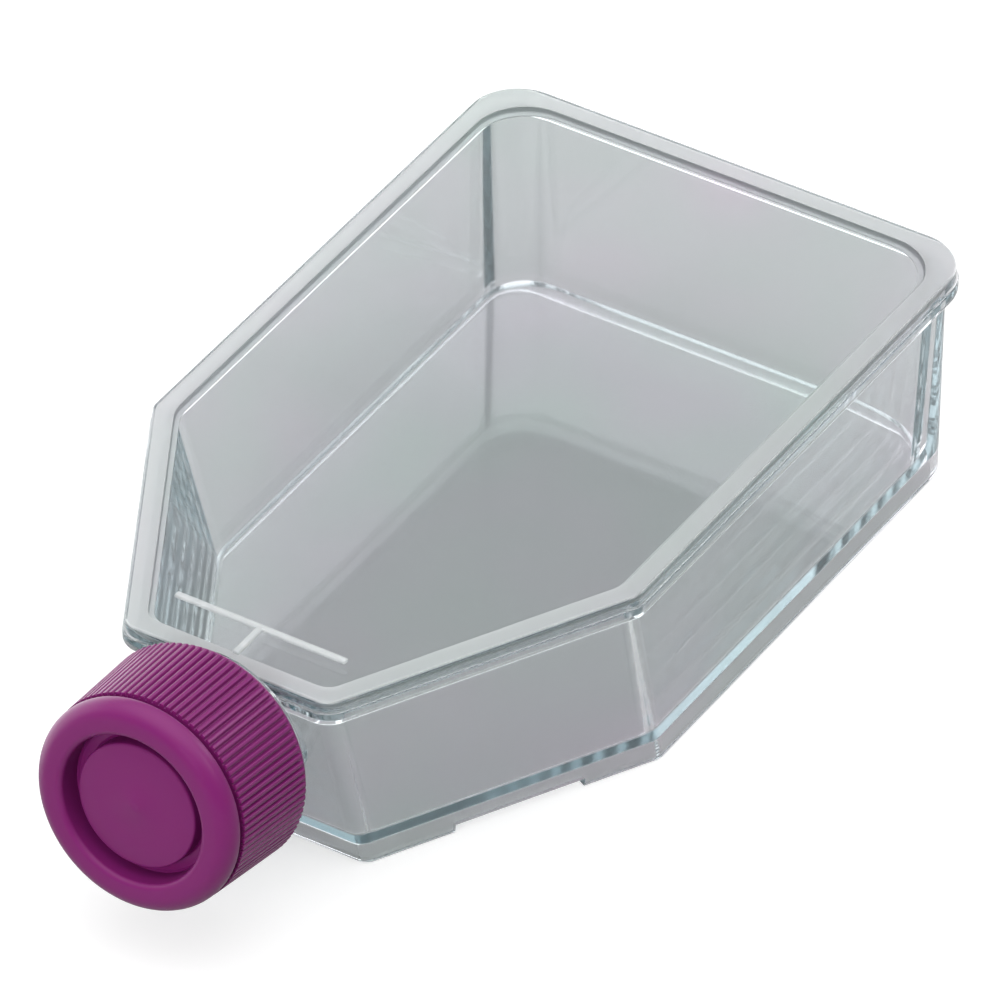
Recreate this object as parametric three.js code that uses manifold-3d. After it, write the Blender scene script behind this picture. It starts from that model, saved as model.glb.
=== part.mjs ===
// Cell culture flask, 75 cm2, lying on its growth surface: a clear moulded tray with a canted neck,
// a flat lid welded over it, and a one-piece plug-seal screw cap.
// Millimetres. +Z up, +X to the right, the neck points along -Y. The table is z = 0.

import * as THREE from "three";
import { mergeVertices } from "three/addons/utils/BufferGeometryUtils.js";
import Module from "manifold-3d";

const wasm = await Module();
wasm.setup();

// ---- Driving dimensions ------------------------------------------------------------------------

// Plan of the flask, at the lid's edge: a rectangle behind two shoulders, then a taper to the neck.
const lidWidth = 82;
const straightLength = 94;
const taperLength = 44;
const frontWidth = 34;
const rearCornerRadius = 8;
const shoulderRadius = 2;
const frontCornerRadius = 3.5;

// Heights, from the table up.
const footHeight = 1.6;
const skirtDepth = 2.1;
const floorThickness = 1.1;
const chamberDepth = 30.5;
const flangeThickness = 2;
const lidThickness = 2;

// Walls. The side and rear walls have a little draft; the front end leans back towards its foot.
// All of them thicken on the chamber's side towards the floor, and its shoulders open out there.
const flangeLip = 0.4;
const wallInset = 1.4;
const wallDraft = 0.4;
const frontLean = 9.6;
const wallThickness = 2;
const wallGain = 1.4;
const skirtThickness = 1.6;
const floorFillet = 3.2;
const chamberCornerRadius = 6;
const chamberShoulderRadius = 10;
const chamberShoulderGain = 16;
const leastCornerRadius = 0.8;

// Vent notches through the foot of each tapered wall, as shares of that wall from its shoulder.
const notchStart = 0.26;
const notchEnd = 0.7;

// Raised T mark on the lid, near its front edge.
const markSetback = 9.3;
const markSpan = 28.6;
const markStem = 6.7;
const markWidth = 1.1;
const markHeight = 0.5;

// Neck. Its axis rises towards the mouth; distances along it start at the lid's front edge.
const neckPitch = 7.4;
const throatRadius = 9.6;
const throatRoof = 1.05;
const throatEnd = 1.2;
const mouthRadius = 12.5;
const mouthStart = 6;
const neckWall = 1.5;
const collarStart = 2.6;
const collarWidth = 1.2;
const collarProjection = 1;
const lipChamfer = 0.4;

// Cap.
const threadRoom = 0.9;
const capStandoff = 4.75;
const capLength = 20;
const capWall = 1.3;
const capEndThickness = 2.4;
const ribCount = 96;
const ribHeight = 0.5;
const ribShare = 0.55;
const ribSink = 0.6;
const mouthChamfer = 0.6;
const frontRingWidth = 3.2;
const frontRingRound = 2.3;
const grooveWidth = 0.9;
const grooveDepth = 0.5;
const plugWall = 1;
const plugReach = 1;
const wellDepth = 4.6;
const wellRound = 0.9;
const discRadius = 9.5;
const discSetback = 1.7;
const discThickness = 1.2;
const discWall = 1;
const discCrown = 0.2;

// Clearances between the cap and the neck.
const plugClearance = 0.3;
const skirtClearance = 0.3;
const seatClearance = 0.3;

// Facets.
const cornerFacets = 6;
const neckFacets = 64;
const capFacets = 72;
const arcFacets = 5;

// ---- Heights and places that follow from them ---------------------------------------------------

const floorBottom = footHeight + skirtDepth;
const floorTop = floorBottom + floorThickness;
const seamHeight = floorTop + chamberDepth;
const lidTop = seamHeight + lidThickness;
const lidLength = straightLength + taperLength;
const taperAngle = Math.atan((lidWidth - frontWidth) / 2 / taperLength);
const pitch = THREE.MathUtils.degToRad(neckPitch);
const throughCut = 1;

const neckRadius = mouthRadius + neckWall;
const throatOuterRadius = throatRadius + neckWall;
const collarRadius = neckRadius + collarProjection;
const neckRootDepth = wallInset + frontLean + wallThickness + wallGain;

const capBoreRadius = neckRadius + threadRoom + skirtClearance;
const capBodyRadius = capBoreRadius + capWall;
const capRadius = capBodyRadius + ribHeight;
const plugRadius = mouthRadius - plugClearance;
const wellRadius = plugRadius - plugWall;
const capInnerEnd = capLength - capEndThickness;
const neckLength = capStandoff + capInnerEnd - seatClearance;

// The neck's axis crosses the lid's front edge low enough to leave a roof over the throat.
const neckAxisHeight = seamHeight - throatRoof - throatRadius / Math.cos(pitch);

// ---- Solids -------------------------------------------------------------------------------------

// A closed three.js geometry as a solid that can be joined and cut.
function toSolid(geometry) {
  const bare = geometry.index ? geometry.toNonIndexed() : geometry.clone();
  bare.deleteAttribute("normal");
  bare.deleteAttribute("uv");
  const merged = mergeVertices(bare, 1e-4);
  return new wasm.Manifold(
    new wasm.Mesh({
      numProp: 3,
      vertProperties: merged.attributes.position.array,
      triVerts: new Uint32Array(merged.index.array),
    }),
  );
}

// A finished solid as a named mesh with flat-shaded faces.
function toMesh(name, solid, material) {
  const { numProp, numVert, vertProperties, triVerts } = solid.getMesh();
  const positions = new Float32Array(numVert * 3);
  for (let i = 0; i < numVert; i++) {
    positions.set(vertProperties.subarray(i * numProp, i * numProp + 3), i * 3);
  }
  const indexed = new THREE.BufferGeometry();
  indexed.setAttribute("position", new THREE.BufferAttribute(positions, 3));
  indexed.setIndex(new THREE.BufferAttribute(triVerts, 1));
  const geometry = indexed.toNonIndexed();
  geometry.computeVertexNormals();
  const mesh = new THREE.Mesh(geometry, material);
  mesh.name = name;
  return mesh;
}

// A closed outline through the given corners, each rounded by its own radius.
function roundedOutline(corners) {
  const points = [];
  corners.forEach(({ x, y, radius }, i) => {
    const corner = new THREE.Vector2(x, y);
    const before = corners[(i + corners.length - 1) % corners.length];
    const after = corners[(i + 1) % corners.length];
    const toBefore = new THREE.Vector2(before.x - x, before.y - y).normalize();
    const toAfter = new THREE.Vector2(after.x - x, after.y - y).normalize();
    const halfAngle = Math.acos(toBefore.dot(toAfter)) / 2;
    const tangent = radius / Math.tan(halfAngle);
    const bisector = toBefore.clone().add(toAfter).normalize();
    const centre = corner.clone().addScaledVector(bisector, radius / Math.sin(halfAngle));
    const start = corner.clone().addScaledVector(toBefore, tangent).sub(centre).angle();
    const end = corner.clone().addScaledVector(toAfter, tangent).sub(centre).angle();
    const turn = THREE.MathUtils.euclideanModulo(end - start + Math.PI, 2 * Math.PI) - Math.PI;
    for (let k = 0; k <= cornerFacets; k++) {
      const angle = start + (turn * k) / cornerFacets;
      points.push(new THREE.Vector2(radius, 0).rotateAround(new THREE.Vector2(), angle).add(centre));
    }
  });
  return points;
}

// The flask's plan, moved in from the lid's edge by its own amount on the side, rear, tapered and
// front edges. Points run counter-clockwise from the rear right corner, always in the same number.
function planOutline(insets, radii) {
  const sideX = lidWidth / 2 - insets.side;
  const rearY = -insets.rear;
  const frontY = -lidLength + insets.front;
  const taperX = (y) =>
    frontWidth / 2 + (lidLength + y) * Math.tan(taperAngle) - insets.taper / Math.cos(taperAngle);
  const shoulderY = -lidLength + (sideX - taperX(-lidLength)) / Math.tan(taperAngle);
  return roundedOutline([
    { x: sideX, y: rearY, radius: radii.rear },
    { x: -sideX, y: rearY, radius: radii.rear },
    { x: -sideX, y: shoulderY, radius: radii.shoulder },
    { x: -taperX(frontY), y: frontY, radius: radii.front },
    { x: taperX(frontY), y: frontY, radius: radii.front },
    { x: sideX, y: shoulderY, radius: radii.shoulder },
  ]);
}

// How far height z lies below the seam, as a share of the seam's height.
function fallAt(z) {
  return (seamHeight - z) / seamHeight;
}

// Insets of a wall face that lies `depth` inside the tray's outer face, at height z.
function wallInsets(z, depth) {
  const fall = fallAt(z);
  const upright = wallInset + wallDraft * fall + depth;
  return {
    side: upright,
    rear: upright,
    taper: wallInset + frontLean * Math.sin(taperAngle) * fall + depth,
    front: wallInset + frontLean * fall + depth,
  };
}

function evenInsets(inset) {
  return { side: inset, rear: inset, taper: inset, front: inset };
}

// Corner radii that stay concentric with the lid's corners, `inset` inside them.
function concentricRadii(inset) {
  return {
    rear: Math.max(rearCornerRadius - inset, leastCornerRadius),
    shoulder: Math.max(shoulderRadius - inset, leastCornerRadius),
    front: Math.max(frontCornerRadius - inset, leastCornerRadius),
  };
}

// A solid through horizontal outlines of equal point counts, listed from the lowest up.
function loft(sections) {
  const count = sections[0].outline.length;
  const positions = [];
  for (const { z, outline } of sections) {
    for (const { x, y } of outline) {
      positions.push(x, y, z);
    }
  }
  const index = [];
  for (let level = 0; level < sections.length - 1; level++) {
    for (let i = 0; i < count; i++) {
      const low = level * count + i;
      const lowNext = level * count + ((i + 1) % count);
      index.push(low, lowNext, lowNext + count, low, lowNext + count, low + count);
    }
  }
  const top = (sections.length - 1) * count;
  for (const [a, b, c] of THREE.ShapeUtils.triangulateShape(sections[0].outline, [])) {
    index.push(a, c, b);
  }
  for (const [a, b, c] of THREE.ShapeUtils.triangulateShape(sections.at(-1).outline, [])) {
    index.push(top + a, top + b, top + c);
  }
  const geometry = new THREE.BufferGeometry();
  geometry.setAttribute("position", new THREE.Float32BufferAttribute(positions, 3));
  geometry.setIndex(index);
  return toSolid(geometry);
}

// A flat-topped slab of the flask's plan.
function slab(inset, bottom, top) {
  const outline = planOutline(evenInsets(inset), concentricRadii(inset));
  return loft([
    { z: bottom, outline },
    { z: top, outline },
  ]);
}

// A turned solid from [radius, distance] pairs, its axis laid along the neck's.
function turnedOnNeck(profile, facets) {
  const geometry = new THREE.LatheGeometry(
    profile.map(([radius, distance]) => new THREE.Vector2(radius, distance)),
    facets,
  );
  return toSolid(geometry.applyMatrix4(neckFrame()));
}

// Takes +Y of a turned or extruded shape to the neck's axis, from where it passes the lid's edge.
function neckFrame() {
  const place = new THREE.Matrix4().makeTranslation(0, -lidLength, neckAxisHeight);
  const turn = new THREE.Matrix4().makeRotationX(Math.PI - pitch);
  return place.multiply(turn);
}

// ---- Tray with its neck ---------------------------------------------------------------------------

// The walls' outer form, down to the table, with the flange that carries the lid.
function trayEnvelope() {
  const flangeBottom = seamHeight - flangeThickness;
  const walls = loft(
    [0, flangeBottom + flangeThickness / 2].map((z) => ({
      z,
      outline: planOutline(wallInsets(z, 0), concentricRadii(wallInset)),
    })),
  );
  return walls.add(slab(-flangeLip, flangeBottom, seamHeight));
}

// The chamber: a flat growth surface, a fillet all round it and the walls' inner faces.
function chamber() {
  const section = (z, rounding) => ({
    z,
    outline: planOutline(wallInsets(z, wallThickness + wallGain * fallAt(z) + rounding), {
      rear: chamberCornerRadius,
      shoulder: chamberShoulderRadius + chamberShoulderGain * fallAt(z),
      front: leastCornerRadius,
    }),
  });
  const sections = [];
  for (let k = 0; k <= arcFacets; k++) {
    const angle = (k / arcFacets) * (Math.PI / 2);
    const z = floorTop + floorFillet * (1 - Math.cos(angle));
    sections.push(section(z, floorFillet * (1 - Math.sin(angle))));
  }
  sections.push(section(seamHeight + throughCut, 0));
  return loft(sections);
}

// The hollow under the floor, inside the skirt that the flask stands on.
function undersideHollow() {
  return loft(
    [-throughCut, floorBottom].map((z) => ({
      z,
      outline: planOutline(wallInsets(z, skirtThickness), concentricRadii(wallInset + skirtThickness)),
    })),
  );
}

// A gap in the foot under one tapered wall; side is 1 on the right and -1 on the left.
function ventNotch(side) {
  const foot = wallInsets(0, 0);
  const slope = Math.tan(taperAngle);
  const shoulderX = lidWidth / 2 - foot.side;
  const frontX = frontWidth / 2 + foot.front * slope - foot.taper / Math.cos(taperAngle);
  const run = (shoulderX - frontX) / Math.sin(taperAngle);
  const middle = (notchStart + notchEnd) / 2;
  const x = THREE.MathUtils.lerp(shoulderX, frontX, middle);
  const y = -lidLength + foot.front + (x - frontX) / slope;
  const reach = 2 * (skirtThickness + throughCut);
  const geometry = new THREE.BoxGeometry(reach, run * (notchEnd - notchStart), 2 * footHeight);
  geometry.rotateZ(-side * taperAngle);
  geometry.translate(side * x, y, 0);
  return toSolid(geometry);
}

function neckOutside() {
  return turnedOnNeck(
    [
      [0, -neckRootDepth],
      [throatOuterRadius, -neckRootDepth],
      [throatOuterRadius, throatEnd - lipChamfer],
      [neckRadius, collarStart],
      [collarRadius, collarStart],
      [collarRadius, collarStart + collarWidth],
      [neckRadius, collarStart + collarWidth],
      [neckRadius, neckLength - lipChamfer],
      [neckRadius - lipChamfer, neckLength],
      [0, neckLength],
    ],
    neckFacets,
  );
}

function neckBore() {
  return turnedOnNeck(
    [
      [0, -neckRootDepth - throughCut],
      [throatRadius, -neckRootDepth - throughCut],
      [throatRadius, throatEnd],
      [mouthRadius, mouthStart],
      [mouthRadius, neckLength + throughCut],
      [0, neckLength + throughCut],
    ],
    neckFacets,
  );
}

function flaskBody() {
  // The neck is cut off level with the flange wherever the lid lies over it.
  const neck = neckOutside().subtract(slab(-flangeLip, seamHeight, lidTop + neckRadius));
  const blank = trayEnvelope().add(neck);
  return [chamber(), undersideHollow(), neckBore(), ventNotch(1), ventNotch(-1)].reduce(
    (body, cut) => body.subtract(cut),
    blank,
  );
}

// ---- Lid --------------------------------------------------------------------------------------------

// The raised T: a bar across the lid and a stem from it to the front.
function lidMark() {
  const barY = -lidLength + markSetback;
  const half = markWidth / 2;
  const mark = new THREE.Shape([
    new THREE.Vector2(-markSpan / 2, barY + half),
    new THREE.Vector2(-markSpan / 2, barY - half),
    new THREE.Vector2(-half, barY - half),
    new THREE.Vector2(-half, barY - markStem),
    new THREE.Vector2(half, barY - markStem),
    new THREE.Vector2(half, barY - half),
    new THREE.Vector2(markSpan / 2, barY - half),
    new THREE.Vector2(markSpan / 2, barY + half),
  ]);
  const depth = markHeight + lidThickness / 2;
  const geometry = new THREE.ExtrudeGeometry(mark, { depth, bevelEnabled: false });
  return toSolid(geometry.translate(0, 0, lidTop + markHeight - depth));
}

function topPlate() {
  return slab(0, seamHeight, lidTop).add(lidMark());
}

// ---- Cap --------------------------------------------------------------------------------------------

// A quarter round from one [radius, distance] point to another; `bulge` is the corner it rounds.
function quarterRound([startRadius, startAt], [endRadius, endAt], bulge) {
  const points = [];
  for (let k = 1; k < arcFacets; k++) {
    const angle = (k / arcFacets) * (Math.PI / 2);
    const alongStart = 1 - Math.sin(angle);
    const alongEnd = 1 - Math.cos(angle);
    points.push([
      bulge[0] + (startRadius - bulge[0]) * alongStart + (endRadius - bulge[0]) * alongEnd,
      bulge[1] + (startAt - bulge[1]) * alongStart + (endAt - bulge[1]) * alongEnd,
    ]);
  }
  return points;
}

// Skirt, front ring, plug, well and the raised disc in the well, in one section, from the open end
// at distance 0. The disc stands on a thin wall of its own, so it is hollow on the inside.
function capSection() {
  const ringStart = capLength - frontRingWidth;
  const roundStart = [capRadius, capLength - frontRingRound];
  const roundEnd = [capRadius - frontRingRound, capLength];
  const wellEdge = [wellRadius + wellRound, capLength];
  const wellSide = [wellRadius, capLength - wellRound];
  const wellFloor = capLength - wellDepth;
  const wellUnderside = wellFloor - discThickness;
  const discTop = capLength - discSetback;
  const plugTip = wellUnderside - plugReach;
  return [
    [0, discTop - discThickness],
    [discRadius - discWall, discTop - discThickness],
    [discRadius - discWall, wellUnderside],
    [wellRadius - plugWall / 2, wellUnderside],
    [wellRadius, plugTip],
    [plugRadius - plugWall / 4, plugTip],
    [plugRadius, plugTip + plugReach],
    [plugRadius, capInnerEnd],
    [capBoreRadius, capInnerEnd],
    [capBoreRadius, 0],
    [capBodyRadius - mouthChamfer / 2, 0],
    [capBodyRadius, mouthChamfer],
    [capBodyRadius, ringStart - grooveWidth],
    [capBodyRadius - grooveDepth, ringStart - grooveWidth],
    [capBodyRadius - grooveDepth, ringStart],
    [capRadius, ringStart],
    roundStart,
    ...quarterRound(roundStart, roundEnd, [capRadius, capLength]),
    roundEnd,
    wellEdge,
    ...quarterRound(wellEdge, wellSide, [wellRadius, capLength]),
    wellSide,
    [wellRadius, wellFloor],
    [discRadius, wellFloor],
    [discRadius, discTop],
    [0, discTop + discCrown],
  ];
}

// The grip: fine ribs along the skirt between its open end and the groove.
function capRibs() {
  const outline = [];
  for (let i = 0; i < ribCount; i++) {
    const root = ((i - ribShare) / ribCount) * 2 * Math.PI;
    const crest = ((i - ribShare / 2) / ribCount) * 2 * Math.PI;
    const crestEnd = (i / ribCount) * 2 * Math.PI;
    const rootEnd = ((i + (1 - ribShare) / 2) / ribCount) * 2 * Math.PI;
    outline.push([capBodyRadius, root], [capRadius, crest], [capRadius, crestEnd]);
    outline.push([capBodyRadius, rootEnd]);
  }
  const shape = new THREE.Shape(
    outline.map(([radius, angle]) => new THREE.Vector2(radius * Math.cos(angle), radius * Math.sin(angle))),
  );
  shape.holes.push(new THREE.Path().absarc(0, 0, capBodyRadius - ribSink, 0, 2 * Math.PI, true));
  const depth = capLength - frontRingWidth - grooveWidth - 2 * mouthChamfer;
  const geometry = new THREE.ExtrudeGeometry(shape, {
    depth,
    bevelEnabled: false,
    curveSegments: capFacets,
  });
  geometry.rotateX(-Math.PI / 2);
  geometry.translate(0, 2 * mouthChamfer + capStandoff, 0);
  return toSolid(geometry.applyMatrix4(neckFrame()));
}

function cap() {
  const section = capSection().map(([radius, distance]) => [radius, distance + capStandoff]);
  return turnedOnNeck(section, capFacets).add(capRibs());
}

// ---- Assembly -------------------------------------------------------------------------------------

const clearPolystyrene = new THREE.MeshStandardMaterial({
  color: 0xdde3e6,
  roughness: 0.08,
  metalness: 0,
  transparent: true,
  opacity: 0.35,
});
const lidPolystyrene = clearPolystyrene.clone();
lidPolystyrene.opacity = 0.25;
const purplePolyethylene = new THREE.MeshStandardMaterial({
  color: 0x7a2f78,
  roughness: 0.38,
  metalness: 0,
});

const flask = new THREE.Group();
flask.add(toMesh("flask_body", flaskBody(), clearPolystyrene));
flask.add(toMesh("top_plate", topPlate(), lidPolystyrene));
flask.add(toMesh("cap", cap(), purplePolyethylene));

// The origin lies on the table, under the middle of the flask and cap together.
const extent = new THREE.Box3().setFromObject(flask);
flask.position.y = -(extent.min.y + extent.max.y) / 2;

export default flask;
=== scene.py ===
import math

import bpy
from mathutils import Matrix, Vector


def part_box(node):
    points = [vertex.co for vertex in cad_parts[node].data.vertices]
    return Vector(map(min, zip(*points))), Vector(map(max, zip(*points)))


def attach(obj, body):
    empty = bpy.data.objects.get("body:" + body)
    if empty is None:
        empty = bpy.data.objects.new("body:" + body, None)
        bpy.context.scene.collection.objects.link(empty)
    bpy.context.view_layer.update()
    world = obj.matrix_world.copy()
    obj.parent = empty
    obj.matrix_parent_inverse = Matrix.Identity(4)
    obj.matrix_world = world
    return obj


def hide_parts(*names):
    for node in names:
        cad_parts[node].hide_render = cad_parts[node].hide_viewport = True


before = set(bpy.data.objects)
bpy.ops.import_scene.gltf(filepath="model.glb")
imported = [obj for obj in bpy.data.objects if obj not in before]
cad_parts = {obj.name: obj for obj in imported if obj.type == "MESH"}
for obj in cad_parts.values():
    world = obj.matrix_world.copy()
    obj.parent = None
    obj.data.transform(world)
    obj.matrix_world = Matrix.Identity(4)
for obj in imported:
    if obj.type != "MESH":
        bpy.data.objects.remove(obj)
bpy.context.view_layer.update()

mm = 0.001
near = 0.01 * mm  # points closer than this count as one place
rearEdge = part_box("top_plate")[1].y / mm  # the lid's rear edge, from which the plan is measured forward

edges = {"sharper": 40, "segments": 3, "smoothUnder": 32, "merge": 0.001}  # degrees, steps, degrees, mm


# small helpers

def linear(hexColour):
    channels = [int(hexColour[i:i + 2], 16) / 255 for i in (1, 3, 5)]
    return [c / 12.92 if c <= 0.04045 else ((c + 0.055) / 1.055) ** 2.4 for c in channels] + [1.0]


def deselectAll():
    if bpy.context.object and bpy.context.object.mode != "OBJECT":
        bpy.ops.object.mode_set(mode="OBJECT")
    bpy.ops.object.select_all(action="DESELECT")


def makeActive(piece):
    deselectAll()
    piece.select_set(True)
    bpy.context.view_layer.objects.active = piece


def pick(piece, kind, test):
    # leaves the piece in edit mode with the vertices or faces picked whose place passes the test
    makeActive(piece)
    bpy.ops.object.mode_set(mode="EDIT")
    bpy.ops.mesh.select_mode(type=kind)
    bpy.ops.mesh.select_all(action="DESELECT")
    bpy.ops.object.mode_set(mode="OBJECT")
    if kind == "VERT":
        for vert in piece.data.vertices:
            vert.select = test(vert.co)
    else:
        for face in piece.data.polygons:
            face.select = test(face.center)
    bpy.ops.object.mode_set(mode="EDIT")


def applyModifier(piece, kind, **settings):
    makeActive(piece)
    modifier = piece.modifiers.new(kind.lower(), kind)
    for name, value in settings.items():
        setattr(modifier, name, value)
    bpy.ops.object.modifier_apply(modifier=modifier.name)


def combine(piece, tool, operation):
    applyModifier(piece, "BOOLEAN", operation=operation, object=tool, solver="EXACT")
    bpy.data.objects.remove(tool, do_unlink=True)


def roundSharp(piece, width):
    # rounds every edge where two faces meet sharply
    makeActive(piece)
    bpy.ops.object.mode_set(mode="EDIT")
    bpy.ops.mesh.select_mode(type="EDGE")
    bpy.ops.mesh.select_all(action="DESELECT")
    bpy.ops.mesh.edges_select_sharp(sharpness=math.radians(edges["sharper"]))
    bpy.ops.mesh.bevel(offset=width * mm, segments=edges["segments"], affect="EDGES")
    bpy.ops.object.mode_set(mode="OBJECT")


def finishMesh(piece):
    # doubles merged, faces out, smooth except where two faces meet sharply
    makeActive(piece)
    bpy.ops.object.mode_set(mode="EDIT")
    bpy.ops.mesh.select_mode(type="VERT")
    bpy.ops.mesh.select_all(action="SELECT")
    bpy.ops.mesh.remove_doubles(threshold=edges["merge"] * mm)
    bpy.ops.mesh.normals_make_consistent(inside=False)
    bpy.ops.object.mode_set(mode="OBJECT")
    bpy.ops.object.shade_smooth_by_angle(angle=math.radians(edges["smoothUnder"]))
    applyModifier(piece, "WEIGHTED_NORMAL", keep_sharp=True, weight=50)  # flats stay optically flat


# plan of the flask, in mm, measured forward from the lid's rear edge

plan = {
    "width": 82, "straight": 94, "taper": 44, "front": 34,
    "seam": 35.3, "wallInset": 1.4, "draft": 0.4, "lean": 9.6, "cornerSegments": 12,
}
taperAngle = math.atan((plan["width"] - plan["front"]) / 2 / plan["taper"])
planLength = plan["straight"] + plan["taper"]


def wallInsets(z, depth):
    # how far a wall face that lies `depth` inside the outer one stands within the lid's edge
    fall = (plan["seam"] - z) / plan["seam"]
    upright = plan["wallInset"] + plan["draft"] * fall + depth
    taper = plan["wallInset"] + plan["lean"] * math.sin(taperAngle) * fall + depth
    return upright, upright, taper, plan["wallInset"] + plan["lean"] * fall + depth


def planStations(insets):
    # half width and distance forward at the rear, the shoulders and the front
    side, rear, taper, front = insets
    slope = math.tan(taperAngle)
    sideX = plan["width"] / 2 - side

    def taperX(forward):
        return plan["front"] / 2 + (planLength - forward) * slope - taper / math.cos(taperAngle)

    shoulder = planLength - (sideX - taperX(planLength)) / slope
    return [(sideX, rear), (sideX, shoulder), (taperX(planLength - front), planLength - front)]


def planRing(insets, radii):
    # one outline: a plane cut at its shoulders, drawn in to its stations and rounded at its corners
    deselectAll()
    bpy.ops.mesh.primitive_plane_add(size=2, location=(0, 0, 0))
    ring = bpy.context.object
    bpy.ops.object.mode_set(mode="EDIT")
    bpy.ops.mesh.select_all(action="SELECT")
    bpy.ops.mesh.bisect(plane_co=(0, 0, 0), plane_no=(0, 1, 0))
    bpy.ops.mesh.dissolve_edges(use_verts=False)  # the cut leaves only its two end points
    stations = planStations(insets)
    for index, startY in ((1, 0), (0, 1), (2, -1)):  # the cut first, then the plane's two ends
        halfWidth, forward = stations[index]
        pick(ring, "VERT", lambda co: abs(co.y - startY) < 0.1)  # the plane is still 2 m long
        bpy.ops.transform.resize(value=(halfWidth * mm, 1, 1), center_override=(0, 0, 0))
        bpy.ops.transform.translate(value=(0, (rearEdge - forward) * mm - startY, 0))
    cornerHalves = (math.pi / 4, (math.pi - taperAngle) / 2, (math.pi / 2 + taperAngle) / 2)
    for (halfWidth, forward), radius, half in zip(stations, radii, cornerHalves):
        place = Vector((halfWidth, rearEdge - forward)) * mm
        pick(ring, "VERT", lambda co: (Vector((abs(co.x), co.y)) - place).length < near)
        cutBack = radius / math.tan(half) * mm
        bpy.ops.mesh.bevel(offset=cutBack, segments=plan["cornerSegments"], affect="VERTICES")
    pick(ring, "FACE", lambda centre: True)
    bpy.ops.mesh.delete(type="ONLY_FACE")
    bpy.ops.object.mode_set(mode="OBJECT")
    return ring


def loftRings(name, outlines, hollow=False):
    # outlines of [height, insets, radii] stacked and bridged in order, then each moved to its height;
    # a hollow one has its last outline bridged to its first in place of the two ends filled
    stack = 10 * mm
    rings = []
    for step, outline in enumerate(outlines):
        ring = planRing(outline[1], outline[2])
        ring.location.z = step * stack
        group = ring.vertex_groups.new(name=f"ring{step}")
        group.add(range(len(ring.data.vertices)), 1, "REPLACE")
        rings.append(ring)
    deselectAll()
    for ring in rings:
        ring.select_set(True)
    skin = rings[0]
    bpy.context.view_layer.objects.active = skin
    bpy.ops.object.join()
    skin.name = skin.data.name = name
    for step in range(len(rings) - 1):
        pickRings(skin, (step, step + 1))
        bpy.ops.mesh.bridge_edge_loops()
    ends = (0, len(rings) - 1)
    if hollow:
        pickRings(skin, ends)
        bpy.ops.mesh.bridge_edge_loops()
    else:
        for end in ends:
            pickRings(skin, (end,))
            bpy.ops.mesh.edge_face_add()
    bpy.ops.mesh.select_all(action="SELECT")
    bpy.ops.mesh.normals_make_consistent(inside=False)
    for step, outline in enumerate(outlines):
        pickRings(skin, (step,))
        bpy.ops.transform.translate(value=(0, 0, outline[0] * mm - step * stack))
    bpy.ops.object.mode_set(mode="OBJECT")
    skin.vertex_groups.clear()
    return skin


def pickRings(skin, steps):
    makeActive(skin)
    bpy.ops.object.mode_set(mode="EDIT")
    bpy.ops.mesh.select_mode(type="VERT")
    bpy.ops.mesh.select_all(action="DESELECT")
    for step in steps:
        bpy.ops.object.vertex_group_set_active(group=f"ring{step}")
        bpy.ops.object.vertex_group_select()


# turned pieces stand on the neck's axis, which crosses the lid's front edge and rises to the mouth

neckAxis = {"pitch": 7.4, "height": 24.57}
neckTurn = Matrix.Rotation(math.radians(90 - neckAxis["pitch"]), 4, "X")
neckPlace = Matrix.Translation(Vector((0, rearEdge - planLength, neckAxis["height"])) * mm) @ neckTurn


def turned(name, profile, facets):
    # a disc drawn out along the axis and resized at each [radius, distance] of the profile
    deselectAll()
    radius, distance = profile[0]
    bpy.ops.mesh.primitive_circle_add(
        vertices=facets, radius=radius * mm, fill_type="NGON", location=(0, 0, distance * mm)
    )
    piece = bpy.context.object
    piece.name = piece.data.name = name
    bpy.ops.object.transform_apply(location=True)
    bpy.ops.object.mode_set(mode="EDIT")
    bpy.ops.mesh.select_mode(type="FACE")
    bpy.ops.mesh.select_all(action="SELECT")
    for nextRadius, nextDistance in profile[1:]:
        rise = (nextDistance - distance) * mm
        bpy.ops.mesh.extrude_region_move(TRANSFORM_OT_translate={"value": (0, 0, rise)})
        ratio = nextRadius / radius
        bpy.ops.transform.resize(value=(ratio, ratio, 1), center_override=(0, 0, 0))
        radius, distance = nextRadius, nextDistance
    bpy.ops.object.mode_set(mode="OBJECT")
    return piece


def ontoNeck(piece):
    # the neck's axis takes the place of the upright one it was turned on
    piece.matrix_world = neckPlace
    makeActive(piece)
    bpy.ops.object.transform_apply(location=True, rotation=True, scale=True)


# tray: growth floor, leaning walls, flange, skirt and foot in one moulding

tray = {
    "wall": 2, "gain": 1.4, "skirt": 1.6, "foot": 1.6, "underside": 3.7, "floor": 4.8, "fillet": 0.7,
    "flange": 2, "lip": 0.4, "edge": 0.3,
    "outerRadii": (6.6, 3, 2.4), "flangeRadii": (8.4, 2.4, 3.9), "chamberRadii": (8.5, 6, 3),
    "skirtRadii": (5, 0.5, 1.2), "filletSteps": 6, "notch": (0.26, 0.7), "notchAcross": 6,
    "rootHold": 0.5, "trimBelow": 1, "trimAbove": 20,
}


def chamberOutline(z, rounding):
    # the walls thicken towards the floor
    fall = (plan["seam"] - z) / plan["seam"]
    depth = tray["wall"] + tray["gain"] * fall + rounding
    return z, wallInsets(z, depth), tray["chamberRadii"]


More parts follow.
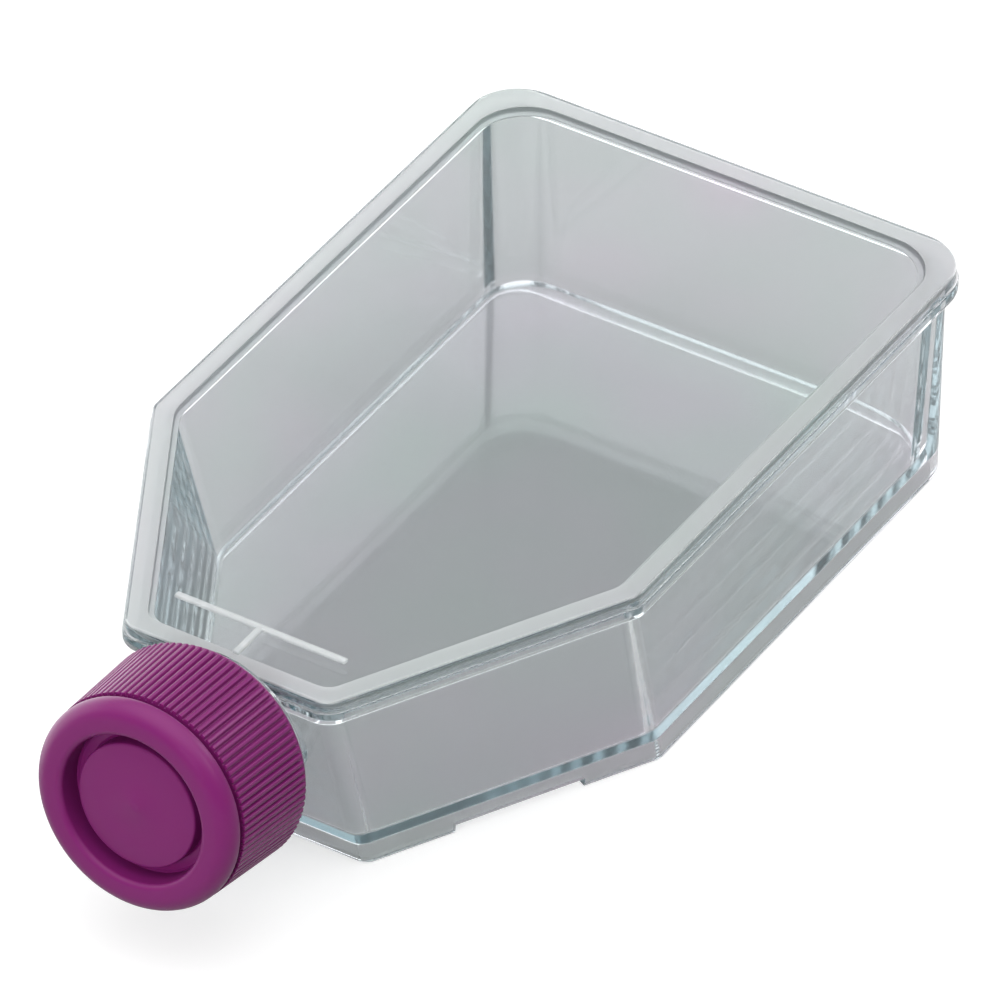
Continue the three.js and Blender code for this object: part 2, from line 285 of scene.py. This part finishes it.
def trayOutlines():
    # one skin from the floor's underside round the foot, up the outside, over the flange and down inside
    seam, flangeZ = plan["seam"], plan["seam"] - tray["flange"]
    lip = (-tray["lip"],) * 4
    outlines = [
        (tray["underside"], wallInsets(tray["underside"], tray["skirt"]), tray["skirtRadii"]),
        (0, wallInsets(0, tray["skirt"]), tray["skirtRadii"]),
        (0, wallInsets(0, 0), tray["outerRadii"]),
        (flangeZ, wallInsets(flangeZ, 0), tray["outerRadii"]),
        (flangeZ, lip, tray["flangeRadii"]),
        (seam, lip, tray["flangeRadii"]),
        chamberOutline(seam, 0),
    ]
    steps = tray["filletSteps"]
    for step in range(steps + 1):
        turn = math.pi / 2 * step / steps
        z = tray["floor"] + tray["fillet"] * (1 - math.sin(turn))
        outlines.append(chamberOutline(z, tray["fillet"] * (1 - math.cos(turn))))
    return outlines


def ventNotch(side):
    # a box through the foot of one tapered wall
    stations = planStations(wallInsets(0, 0))
    (shoulderX, shoulderY), (frontX, frontY) = stations[1], stations[2]
    start, end = tray["notch"]
    middle = (start + end) / 2
    x = shoulderX + (frontX - shoulderX) * middle
    y = rearEdge - (shoulderY + (frontY - shoulderY) * middle)
    run = math.hypot(shoulderX - frontX, shoulderY - frontY) * (end - start)
    deselectAll()
    bpy.ops.mesh.primitive_cube_add(size=1, location=(side * x * mm, y * mm, 0))
    notch = bpy.context.object
    notch.scale = (tray["notchAcross"] * mm, run * mm, 2 * tray["foot"] * mm)
    notch.rotation_euler = (0, 0, -side * taperAngle)
    bpy.ops.object.transform_apply(location=True, rotation=True, scale=True)
    return notch


def thread(name, root, crest, look):
    # a tapering ridge swept up a helix, its ends sunk into the wall that it stands on
    deselectAll()
    bpy.ops.mesh.primitive_plane_add(size=1, rotation=(math.pi / 2, 0, 0), location=(0, 0, 0))
    ridge = bpy.context.object
    ridge.name = ridge.data.name = name
    ridge.scale = (abs(crest - root) * mm, look["foot"] * mm, 1)
    ridge.location = ((root + crest) / 2 * mm, 0, look["start"] * mm)
    bpy.ops.object.transform_apply(location=True, rotation=True, scale=True)
    pick(ridge, "VERT", lambda co: abs(co.x - crest * mm) < near)
    narrower = look["crest"] / look["foot"]
    bpy.ops.transform.resize(value=(1, 1, narrower), center_override=(0, 0, look["start"] * mm))
    pick(ridge, "FACE", lambda centre: True)
    bpy.ops.mesh.delete(type="ONLY_FACE")
    rise = look["pitch"] * look["turns"]
    applyModifier(
        ridge, "SCREW", angle=2 * math.pi * look["turns"], screw_offset=rise * mm,
        steps=look["steps"], render_steps=look["steps"],
    )
    makeActive(ridge)
    bpy.ops.object.mode_set(mode="EDIT")
    bpy.ops.mesh.select_all(action="SELECT")
    bpy.ops.mesh.remove_doubles(threshold=edges["merge"] * mm)
    bpy.ops.mesh.select_mode(type="EDGE")
    bpy.ops.mesh.select_all(action="DESELECT")
    bpy.ops.mesh.select_non_manifold()
    bpy.ops.mesh.fill_holes(sides=0)
    bpy.ops.mesh.select_all(action="SELECT")
    bpy.ops.mesh.normals_make_consistent(inside=False)
    for turn, height in ((0, look["start"]), (2 * math.pi * look["turns"], look["start"] + rise)):
        spoke = Vector((math.cos(turn), math.sin(turn), 0))
        across = Vector((-spoke.y, spoke.x, 0))
        pick(ridge, "VERT", lambda co: abs(co.dot(across)) < 5 * near and co.dot(spoke) > 0
             and abs(co.z - height * mm) < look["foot"] * mm)
        sunk = (2 * root - crest) / crest
        bpy.ops.transform.resize(value=(sunk, sunk, 1), center_override=(0, 0, 0))
    bpy.ops.object.mode_set(mode="OBJECT")
    return ridge


neck = {
    "root": -13, "throat": 9, "throatOuter": 10.5, "throatEnd": 1.2, "mouth": 12.5, "mouthStart": 6,
    "outer": 14, "collarStart": 2.6, "collarWidth": 1.2, "collar": 15, "collarChamfer": 0.3,
    "end": 22.05, "lip": 0.4, "centre": 1, "facets": 96,
}
neckThread = {
    "start": 9.5, "pitch": 4.5, "turns": 1.6, "steps": 150,
    "foot": 1.8, "crest": 0.9, "height": 0.55, "sunk": 0.2,
}


def neckForm():
    n = neck
    chamfer, collarEnd = n["collarChamfer"], n["collarStart"] + n["collarWidth"]
    form = turned("neck", [
        (n["throatOuter"], n["root"]), (n["throatOuter"], n["throatEnd"] - n["lip"]),
        (n["outer"], n["collarStart"]), (n["collar"] - chamfer, n["collarStart"]),
        (n["collar"], n["collarStart"] + chamfer), (n["collar"], collarEnd - chamfer),
        (n["collar"] - chamfer, collarEnd), (n["outer"], collarEnd),
        (n["outer"], n["end"] - n["lip"]), (n["outer"] - n["lip"], n["end"]), (n["centre"], n["end"]),
    ], n["facets"])
    root, crest = n["outer"] - neckThread["sunk"], n["outer"] + neckThread["height"]
    combine(form, thread("neckThread", root, crest, neckThread), "UNION")
    return form


def neckBore():
    n = neck
    past = 1  # the tool runs on past both ends of the neck
    return turned("bore", [
        (n["throat"], n["root"] - past), (n["throat"], n["throatEnd"]), (n["mouth"], n["mouthStart"]),
        (n["mouth"], n["end"] - n["lip"]), (n["mouth"] + n["lip"], n["end"]),
        (n["mouth"] + n["lip"], n["end"] + past),
    ], n["facets"])


def makeTray():
    piece = loftRings("tray", trayOutlines())
    roundSharp(piece, tray["edge"])
    for side in (1, -1):
        combine(piece, ventNotch(side), "DIFFERENCE")
    outside = neckForm()
    ontoNeck(outside)
    # the neck's root is trimmed off half way through the wall, before the bore opens it
    chamber = loftRings("chamber", [
        (z, wallInsets(z, tray["wall"] * tray["rootHold"]), tray["chamberRadii"])
        for z in (tray["floor"] - tray["trimBelow"], plan["seam"] + tray["trimAbove"])
    ])
    combine(outside, chamber, "DIFFERENCE")
    combine(piece, outside, "UNION")
    bore = neckBore()
    ontoNeck(bore)
    combine(piece, bore, "DIFFERENCE")
    finishMesh(piece)
    return piece


# lid: a flat plate welded on the flange, with a raised T near its front edge

lid = {
    "bottom": 35.25, "top": 37.3, "edge": 0.3, "radii": (8, 2, 3.5),
    "markSetback": 9.3, "markSpan": 28.6, "markStem": 6.7, "markWidth": 1.1, "markHeight": 0.5,
    "markEdge": 0.3,
}


def makeLid():
    piece = loftRings("lid", [(z, (0,) * 4, lid["radii"]) for z in (lid["bottom"], lid["top"])])
    roundSharp(piece, lid["edge"])
    barY = rearEdge - planLength + lid["markSetback"]
    for length, width, y in (
        (lid["markSpan"], lid["markWidth"], barY),
        (lid["markWidth"], lid["markStem"], barY - lid["markStem"] / 2),
    ):
        deselectAll()
        bpy.ops.mesh.primitive_cube_add(size=1, location=(0, y * mm, lid["top"] * mm))
        bar = bpy.context.object
        bar.scale = (length * mm, width * mm, 2 * lid["markHeight"] * mm)
        bpy.ops.object.transform_apply(location=True, rotation=True, scale=True)
        roundSharp(bar, lid["markEdge"])
        combine(piece, bar, "UNION")
    finishMesh(piece)
    return piece


# weld: the band whitened in the lid where it was fused on, and the thin bead pressed out within it; both
# are near-white, partly the weld's real whitening and partly a painted highlight for the bright rim lines
# that light running along the clear walls gives

weldAndHighlight = {
    # the band sits high in the lid and is whitened partly as the weld's mark and partly as a painted
    # highlight for the bright rim band
    "seam": {"outer": -1.0, "inner": 1.75, "bottom": 36.75, "top": 36.95, "alpha": 0.55},
    "bead": {"outer": 0.9, "inner": 2.55, "bottom": 34.95, "top": 35.22, "alpha": 0.95},
    "edge": 0.08, "colour": "#fafbfb",
}


def makeWeldAndHighlight(name):
    band = weldAndHighlight[name]
    outer, inner = (wallInsets(plan["seam"], band[edge]) for edge in ("outer", "inner"))
    outerRadii = tray["chamberRadii"] if band["outer"] > 0 else tray["outerRadii"]
    piece = loftRings(name, [
        (band["bottom"], outer, outerRadii), (band["top"], outer, outerRadii),
        (band["top"], inner, tray["chamberRadii"]), (band["bottom"], inner, tray["chamberRadii"]),
    ], hollow=True)
    roundSharp(piece, weldAndHighlight["edge"])
    finishMesh(piece)
    return piece


# cap: one moulding with a ribbed skirt, a smooth front ring, a well and a plug

cap = {
    "start": 4.75, "length": 20, "bore": 15.2, "body": 16.7, "ribHeight": 0.5, "draft": 0.9,
    "endThickness": 2.4, "plug": 12.2, "well": 11.6, "wellDepth": 4.6, "wellRound": 0.9, "plugReach": 1,
    "plugLead": (0.2, 0.5), "plugInside": (0.5, 0.1),
    "disc": 9.7, "setback": 1.7, "thickness": 1.2, "discWall": 1, "discRound": 0.4, "pole": 0.5,
    "crown": 0.2, "crownAt": (0.6, 0.7), "gate": (0.3, 0.9, 1.3), "gateHeight": 0.12,
    "ring": 3.2, "ringRadius": 16.4, "ringRound": 2.6,
    "groove": 0.9, "grooveDepth": 0.5, "grooveEdge": 0.15, "mouthChamfer": 0.8, "soft": 0.3,
    "ribs": 96, "facetsPerRib": 5, "ribStart": 1.2, "ribShare": 0.6,
}


def arc(centre, radius, start, end, steps):
    points = []
    for step in range(steps + 1):
        turn = math.radians(start + (end - start) * step / steps)
        points.append((centre[0] + radius * math.cos(turn), centre[1] + radius * math.sin(turn)))
    return points


def capBody(z):
    # the ribbed side draws in a little toward the front, as a moulded cap's does
    return cap["body"] - cap["draft"] * z / cap["length"]


def capProfile():
    c = cap
    soft = c["soft"]
    ringStart = c["length"] - c["ring"]
    grooveStart = ringStart - c["groove"]
    grooved = capBody(ringStart) - c["grooveDepth"]
    sealEnd = c["length"] - c["endThickness"]
    wellFloor = c["length"] - c["wellDepth"]
    underside = wellFloor - c["thickness"]
    tip = underside - c["plugReach"]
    leadIn, leadUp = c["plugLead"]
    insideStart, insideEnd = (c["well"] - step for step in c["plugInside"])
    discTop = c["length"] - c["setback"]
    discUnder = discTop - c["thickness"]
    discInner = c["disc"] - c["discWall"]
    crownTop = discTop + c["crown"]
    gateTop = crownTop + c["gateHeight"]
    gatePole, gateEdge, gateFoot = c["gate"]
    # under the disc, round the plug, up to the sealing end and down the bore to the mouth
    profile = [(c["pole"], discUnder), (discInner - soft, discUnder), (discInner, discUnder - soft)]
    profile += [(discInner, underside), (insideStart, underside), (insideEnd, underside - soft)]
    profile += [(c["well"], tip), (c["plug"] - leadIn, tip), (c["plug"], tip + leadUp)]
    profile += [(c["plug"], sealEnd), (c["bore"], sealEnd), (c["bore"], soft), (c["bore"] + soft, 0)]
    # up the ribbed side, over the groove and the front ring, down the well and over the disc
    mouth = c["mouthChamfer"]
    profile += [(c["body"] - mouth, 0)] + arc((c["body"] - mouth, mouth), mouth, -70, 0, 4)
    profile += [(capBody(c["ribStart"]), c["ribStart"]), (capBody(grooveStart), grooveStart)]
    profile += [(grooved, grooveStart + c["grooveEdge"]), (grooved, ringStart - c["grooveEdge"])]
    ringRound, wellRound = c["ringRound"], c["wellRound"]
    profile += arc((c["ringRadius"] - soft, ringStart + soft), soft, -80, 0, 3)
    profile += arc((c["ringRadius"] - ringRound, c["length"] - ringRound), ringRound, 0, 90, 10)
    profile += arc((c["well"] + wellRound, c["length"] - wellRound), wellRound, 90, 180, 6)
    profile += [(c["well"], wellFloor + soft), (c["well"] - soft, wellFloor)]
    profile += [(c["disc"] + soft, wellFloor), (c["disc"], wellFloor + soft)]
    profile += arc((c["disc"] - c["discRound"], discTop - c["discRound"]), c["discRound"], 0, 85, 4)
    along, up = c["crownAt"]
    profile += [(c["disc"] * along, discTop + c["crown"] * up), (gateFoot, crownTop)]
    profile += [(gateEdge, gateTop), (gatePole, gateTop)]
    return profile


capThread = {
    "start": 3.2, "pitch": 4.5, "turns": 1.6, "steps": 150,
    "foot": 1.6, "crest": 0.8, "height": 0.5, "sunk": 0.15,
}


def makeCap():
    c = cap
    facets = c["ribs"] * c["facetsPerRib"]
    piece = turned("screwCap", capProfile(), facets)
    root, crest = c["bore"] + capThread["sunk"], c["bore"] - capThread["height"]
    combine(piece, thread("capThread", root, crest, capThread), "UNION")
    finishMesh(piece)
    pitch = 2 * math.pi / c["ribs"]
    low, high = c["ribStart"], c["length"] - c["ring"] - c["groove"]

    def onRib(centre):
        radius, z = math.hypot(centre.x, centre.y) / mm, centre.z / mm
        onSide = radius > capBody(z) - 0.1 and low < z < high  # a facet's middle lies a little inside
        turn = (math.atan2(centre.y, centre.x) / pitch) % 1
        return onSide and abs(turn - 0.5) < c["ribShare"] / 2

    pick(piece, "FACE", onRib)
    bpy.ops.mesh.extrude_region_shrink_fatten(
        TRANSFORM_OT_shrink_fatten={"value": c["ribHeight"] * mm}
    )
    bpy.ops.object.mode_set(mode="OBJECT")
    finishMesh(piece)
    piece.data.transform(Matrix.Translation((0, 0, c["start"] * mm)))
    ontoNeck(piece)
    return piece


# materials

def newMaterial(name):
    material = bpy.data.materials.new(name)
    material.use_nodes = True
    material.node_tree.nodes.clear()
    return material


def addNode(material, kind, settings=None, links=None):
    node = material.node_tree.nodes.new(kind)
    for name, value in (settings or {}).items():
        if isinstance(name, int) or name in node.inputs:
            node.inputs[name].default_value = value
        else:
            setattr(node, name, value)
    for name, source in (links or {}).items():
        material.node_tree.links.new(source, node.inputs[name])
    return node


clearLook = {
    "tints": ("#ebf6f1", "#f8f0f8"), "patch": 24, "roughness": 0.035, "ior": 1.59,
    "shade": "#e0e5e6", "edgeShade": "#969c9e", "depthTint": "#cddadd", "depthDensity": 30.0,
}


def clearPlastic(name):
    # injection-moulded clear polystyrene: glossy, bends light strongly, drifts faintly from green to pink
    look = clearLook
    material = newMaterial(name)
    place = addNode(material, "ShaderNodeTexCoord")
    patches = addNode(material, "ShaderNodeTexNoise", {"Scale": 1 / (look["patch"] * mm), "Detail": 1.0}, {
        "Vector": place.outputs["Object"],
    })
    tint = addNode(material, "ShaderNodeMix", {"data_type": "RGBA"}, {0: patches.outputs["Fac"]})
    tint.inputs[6].default_value = linear(look["tints"][0])
    tint.inputs[7].default_value = linear(look["tints"][1])
    body = addNode(material, "ShaderNodeBsdfPrincipled", {
        "Roughness": look["roughness"], "IOR": look["ior"], "Transmission Weight": 1.0,
    }, {"Base Color": tint.outputs[2]})
    # lamps shine through it, less where they graze a wall, so its shadow is pale with darker outlines
    graze = addNode(material, "ShaderNodeLayerWeight", {"Blend": 0.5})
    shade = addNode(material, "ShaderNodeMix", {"data_type": "RGBA"}, {0: graze.outputs["Facing"]})
    shade.inputs[6].default_value = linear(look["shade"])
    shade.inputs[7].default_value = linear(look["edgeShade"])
    letThrough = addNode(material, "ShaderNodeBsdfTransparent", {}, {"Color": shade.outputs[2]})
    path = addNode(material, "ShaderNodeLightPath")
    mix = addNode(material, "ShaderNodeMixShader", {}, {
        0: path.outputs["Is Shadow Ray"], 1: body.outputs[0], 2: letThrough.outputs[0],
    })
    # a wall's thickness looks clear, while light that has run along a wall comes out darker and bluer
    depth = addNode(material, "ShaderNodeVolumeAbsorption", {
        "Color": linear(look["depthTint"]), "Density": look["depthDensity"],
    })
    addNode(material, "ShaderNodeOutputMaterial", {}, {
        "Surface": mix.outputs[0], "Volume": depth.outputs[0],
    })
    return material


frostedLook = {"roughness": 0.5, "ior": 1.59, "markColour": "#e9edee", "markAlpha": 0.42}


def frostedPlastic(name, colour, alpha):
    # the same polystyrene, left matt by the tool for the T, and near-white for the weld pieces, where it
    # is partly the weld's whitening and partly a painted highlight: scatters light, so it looks pale
    material = newMaterial(name)
    body = addNode(material, "ShaderNodeBsdfPrincipled", {
        "Base Color": linear(colour), "Roughness": frostedLook["roughness"], "IOR": frostedLook["ior"],
        "Alpha": alpha,
    })
    addNode(material, "ShaderNodeOutputMaterial", {}, {"Surface": body.outputs[0]})
    return material


capLook = {
    "colour": "#7c2069", "roughness": 0.36, "ior": 1.51, "specular": 0.3, "waxy": 0.05, "waxyDepth": 2,
}


def capPlastic():
    # injection-moulded purple polyethylene: satin, slightly waxy
    look = capLook
    material = newMaterial("mouldedPolyethylene")
    body = addNode(material, "ShaderNodeBsdfPrincipled", {
        "Base Color": linear(look["colour"]), "Roughness": look["roughness"], "IOR": look["ior"],
        "Specular IOR Level": look["specular"],
        "Subsurface Weight": look["waxy"], "Subsurface Scale": look["waxyDepth"] * mm,
    })
    addNode(material, "ShaderNodeOutputMaterial", {}, {"Surface": body.outputs[0]})
    return material


table = {
    "size": 8, "drop": 0.2, "colour": "#c4c4c4", "bouncedColour": "#6c6c6c",
    "glow": 0.55, "mirroredGlow": 0.12,
}


def floorMaterial():
    # plain pale table: seen straight on it glows to white, and it keeps what shade falls on it
    material = newMaterial("paleTable")
    pale = addNode(material, "ShaderNodeBsdfDiffuse", {"Color": linear(table["colour"])})
    dull = addNode(material, "ShaderNodeBsdfDiffuse", {"Color": linear(table["bouncedColour"])})
    path = addNode(material, "ShaderNodeLightPath")
    # dull to bounced light, so little of it comes back up under the cap
    lit = addNode(material, "ShaderNodeMixShader", {}, {
        0: path.outputs["Is Diffuse Ray"], 1: pale.outputs[0], 2: dull.outputs[0],
    })
    mirrored = addNode(material, "ShaderNodeMath", {"operation": "MAXIMUM"}, {
        0: path.outputs["Is Glossy Ray"], 1: path.outputs["Is Transmission Ray"],
    })
    faint = addNode(material, "ShaderNodeMath", {"operation": "MULTIPLY", 1: table["mirroredGlow"]}, {
        0: mirrored.outputs["Value"],
    })
    strength = addNode(material, "ShaderNodeMath", {"operation": "MULTIPLY_ADD", 1: table["glow"]}, {
        0: path.outputs["Is Camera Ray"], 2: faint.outputs["Value"],
    })
    glow = addNode(material, "ShaderNodeEmission", {"Color": (1, 1, 1, 1)}, {
        "Strength": strength.outputs["Value"],
    })
    both = addNode(material, "ShaderNodeAddShader", {}, {0: lit.outputs[0], 1: glow.outputs[0]})
    addNode(material, "ShaderNodeOutputMaterial", {}, {"Surface": both.outputs[0]})
    return material


def dress(piece, *materials):
    piece.data.materials.clear()
    for material in materials:
        piece.data.materials.append(material)


# build

trayPiece = makeTray()
dress(trayPiece, clearPlastic("mouldedPolystyrene"))
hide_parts("flask_body")
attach(trayPiece, "flask")
print("tray", len(trayPiece.data.polygons))

lidPiece = makeLid()
markPlastic = frostedPlastic("frostedPolystyreneMark", frostedLook["markColour"], frostedLook["markAlpha"])
dress(lidPiece, clearPlastic("mouldedPolystyreneLid"), markPlastic)
for face in lidPiece.data.polygons:
    face.material_index = int(face.center.z > lid["top"] * mm + 2 * near)  # the raised T is matt
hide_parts("top_plate")
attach(lidPiece, "flask")
print("lid", len(lidPiece.data.polygons))

for part in ("seam", "bead"):
    # each weld piece is near-white: partly the weld's real whitening, partly a painted highlight for the
    # bright rim lines
    weldAndHighlightPiece = makeWeldAndHighlight(part)
    fusedAndHighlight = frostedPlastic("fusedAndHighlightPolystyrene" + part.capitalize(), weldAndHighlight["colour"], weldAndHighlight[part]["alpha"])
    dress(weldAndHighlightPiece, fusedAndHighlight)
    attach(weldAndHighlightPiece, "flask")
    print("weldAndHighlight", part, len(weldAndHighlightPiece.data.polygons))

capPiece = makeCap()
dress(capPiece, capPlastic())
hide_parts("cap")
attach(capPiece, "cap")
print("cap", len(capPiece.data.polygons))


# stage, lamps and camera

view = {
    "azimuth": 32.11, "elevation": 38.38, "distance": 1785.7, "target": (3.37, 11.07, 23.02),
    "lens": 446, "sensor": 36, "nearest": 0.05, "farthest": 50,
}
room = {
    "overhead": [(0.0, 0.0), (0.3, 0.05), (0.6, 0.5), (0.9, 1.85)],  # nearness to its axis, brightness
    "axis": (-0.08, 0.0, 0.997),
    "horizon": [(0.0, 1.0), (0.3, 0.8), (0.5, 0.0)],  # sine of the height, brightness
    "front": 0.15, "back": 0.7, "backward": (-0.53, 0.85, 0.0),  # the horizon's strength each way
}
cards = {"bright": 2.3, "gap": 45, "sideGap": 27, "length": 260, "rearMiddle": -60, "sideMiddle": 20}
lamps = [
    {"name": "backRight", "place": (0.55, 0.78, 0.69), "size": 0.3, "watts": 1.8, "mirrored": True},
    {"name": "right", "place": (0.86, 0.02, 0.82), "size": 0.3, "watts": 1.0, "mirrored": True},
    {"name": "front", "place": (0.12, -0.8, 0.35), "size": 0.25, "watts": 3.2, "mirrored": False},
]
bounces = {"light": 160, "clearLayers": 64}  # light runs a long way inside the thin clear walls


def heightRamp(world, height, stops):
    ramp = addNode(world, "ShaderNodeValToRGB", {}, {0: height})
    steps = ramp.color_ramp.elements
    while len(steps) < len(stops):
        steps.new(1)
    for step, (sine, grey) in zip(steps, stops):
        step.position = sine
        step.color = (grey, grey, grey, 1)
    return ramp.outputs["Color"]


def makeStage():
    deselectAll()
    bpy.ops.mesh.primitive_plane_add(size=table["size"], location=(0, 0, -table["drop"] * mm))
    floor = bpy.context.object
    floor.name = "table"
    dress(floor, floorMaterial())
    world = bpy.data.worlds.new("studio")
    bpy.context.scene.world = world
    world.use_nodes = True
    world.node_tree.nodes.clear()
    direction = addNode(world, "ShaderNodeTexCoord").outputs["Generated"]
    height = addNode(world, "ShaderNodeSeparateXYZ", {}, {0: direction}).outputs["Z"]
    along = addNode(world, "ShaderNodeVectorMath", {"operation": "DOT_PRODUCT", 1: room["backward"]}, {
        0: direction,
    })
    strength = addNode(world, "ShaderNodeMapRange", {
        "From Min": -1.0, "From Max": 1.0, "To Min": room["front"], "To Max": room["back"],
    }, {"Value": along.outputs["Value"]})
    low = addNode(world, "ShaderNodeVectorMath", {"operation": "SCALE"}, {
        0: heightRamp(world, height, room["horizon"]), "Scale": strength.outputs[0],
    })
    overhead = addNode(world, "ShaderNodeVectorMath", {"operation": "DOT_PRODUCT", 1: room["axis"]}, {
        0: direction,
    })
    light = addNode(world, "ShaderNodeVectorMath", {"operation": "ADD"}, {
        0: low.outputs[0], 1: heightRamp(world, overhead.outputs["Value"], room["overhead"]),
    })
    sky = addNode(world, "ShaderNodeBackground", {"Strength": 1.0}, {"Color": light.outputs[0]})
    addNode(world, "ShaderNodeOutputWorld", {}, {"Surface": sky.outputs[0]})


def whiteCard(name, middle, turn, height):
    # a low card that stands behind a wall and shows only in the clear plastic
    deselectAll()
    bpy.ops.mesh.primitive_plane_add(size=1, location=(0, 0, 0))
    card = bpy.context.object
    card.name = name
    card.scale = (cards["length"] * mm, height * mm, 1)
    card.rotation_euler = (math.radians(90), 0, turn)
    card.location = (middle[0] * mm, middle[1] * mm, height / 2 * mm)
    bpy.ops.object.transform_apply(location=True, rotation=True, scale=True)
    material = newMaterial(name)
    glow = addNode(material, "ShaderNodeEmission", {"Color": (1, 1, 1, 1), "Strength": cards["bright"]})
    addNode(material, "ShaderNodeOutputMaterial", {}, {"Surface": glow.outputs[0]})
    dress(card, material)
    card.visible_camera = card.visible_diffuse = card.visible_shadow = False


def makeCards():
    # each is as high as makes its image in the flask's floor end at the wall's top
    climb = math.tan(math.radians(view["elevation"]))
    turn = math.radians(view["azimuth"])
    rearHeight = plan["seam"] + cards["gap"] / math.cos(turn) * climb
    leftHeight = plan["seam"] + cards["sideGap"] / math.sin(turn) * climb
    leftX = -(plan["width"] / 2 + cards["sideGap"])
    whiteCard("rearCard", (cards["rearMiddle"], rearEdge + cards["gap"]), 0, rearHeight)
    whiteCard("leftCard", (leftX, cards["sideMiddle"]), math.pi / 2, leftHeight)


def softbox(look):
    data = bpy.data.lights.new(look["name"], "AREA")
    data.size = look["size"]
    data.energy = look["watts"]
    lamp = bpy.data.objects.new(look["name"], data)
    lamp.location = look["place"]
    lamp.rotation_mode = "QUATERNION"
    lamp.rotation_quaternion = (-lamp.location).to_track_quat("-Z", "Y")
    lamp.visible_glossy = look["mirrored"]
    lamp.visible_transmission = False  # no bright square seen through the clear walls
    bpy.context.scene.collection.objects.link(lamp)


def makeCamera():
    data = bpy.data.cameras.new("view")
    data.lens = view["lens"]
    data.sensor_width = view["sensor"]
    data.clip_start, data.clip_end = view["nearest"], view["farthest"]
    camera = bpy.data.objects.new("view", data)
    turn, rise = math.radians(view["azimuth"]), math.radians(view["elevation"])
    back = Vector((math.sin(turn) * math.cos(rise), -math.cos(turn) * math.cos(rise), math.sin(rise)))
    camera.location = (Vector(view["target"]) + back * view["distance"]) * mm
    camera.rotation_mode = "QUATERNION"
    camera.rotation_quaternion = (-back).to_track_quat("-Z", "Y")
    bpy.context.scene.collection.objects.link(camera)
    bpy.context.scene.camera = camera


makeStage()
makeCards()
for look in lamps:
    softbox(look)
makeCamera()
scene = bpy.context.scene
scene.view_settings.view_transform = "Standard"
scene.cycles.max_bounces = bounces["light"]
scene.cycles.transmission_bounces = bounces["light"]
scene.cycles.glossy_bounces = bounces["light"]
scene.cycles.transparent_max_bounces = bounces["clearLayers"]
scene.cycles.use_light_tree = False  # with three lamps a plain pick is quicker
print("stage ready")
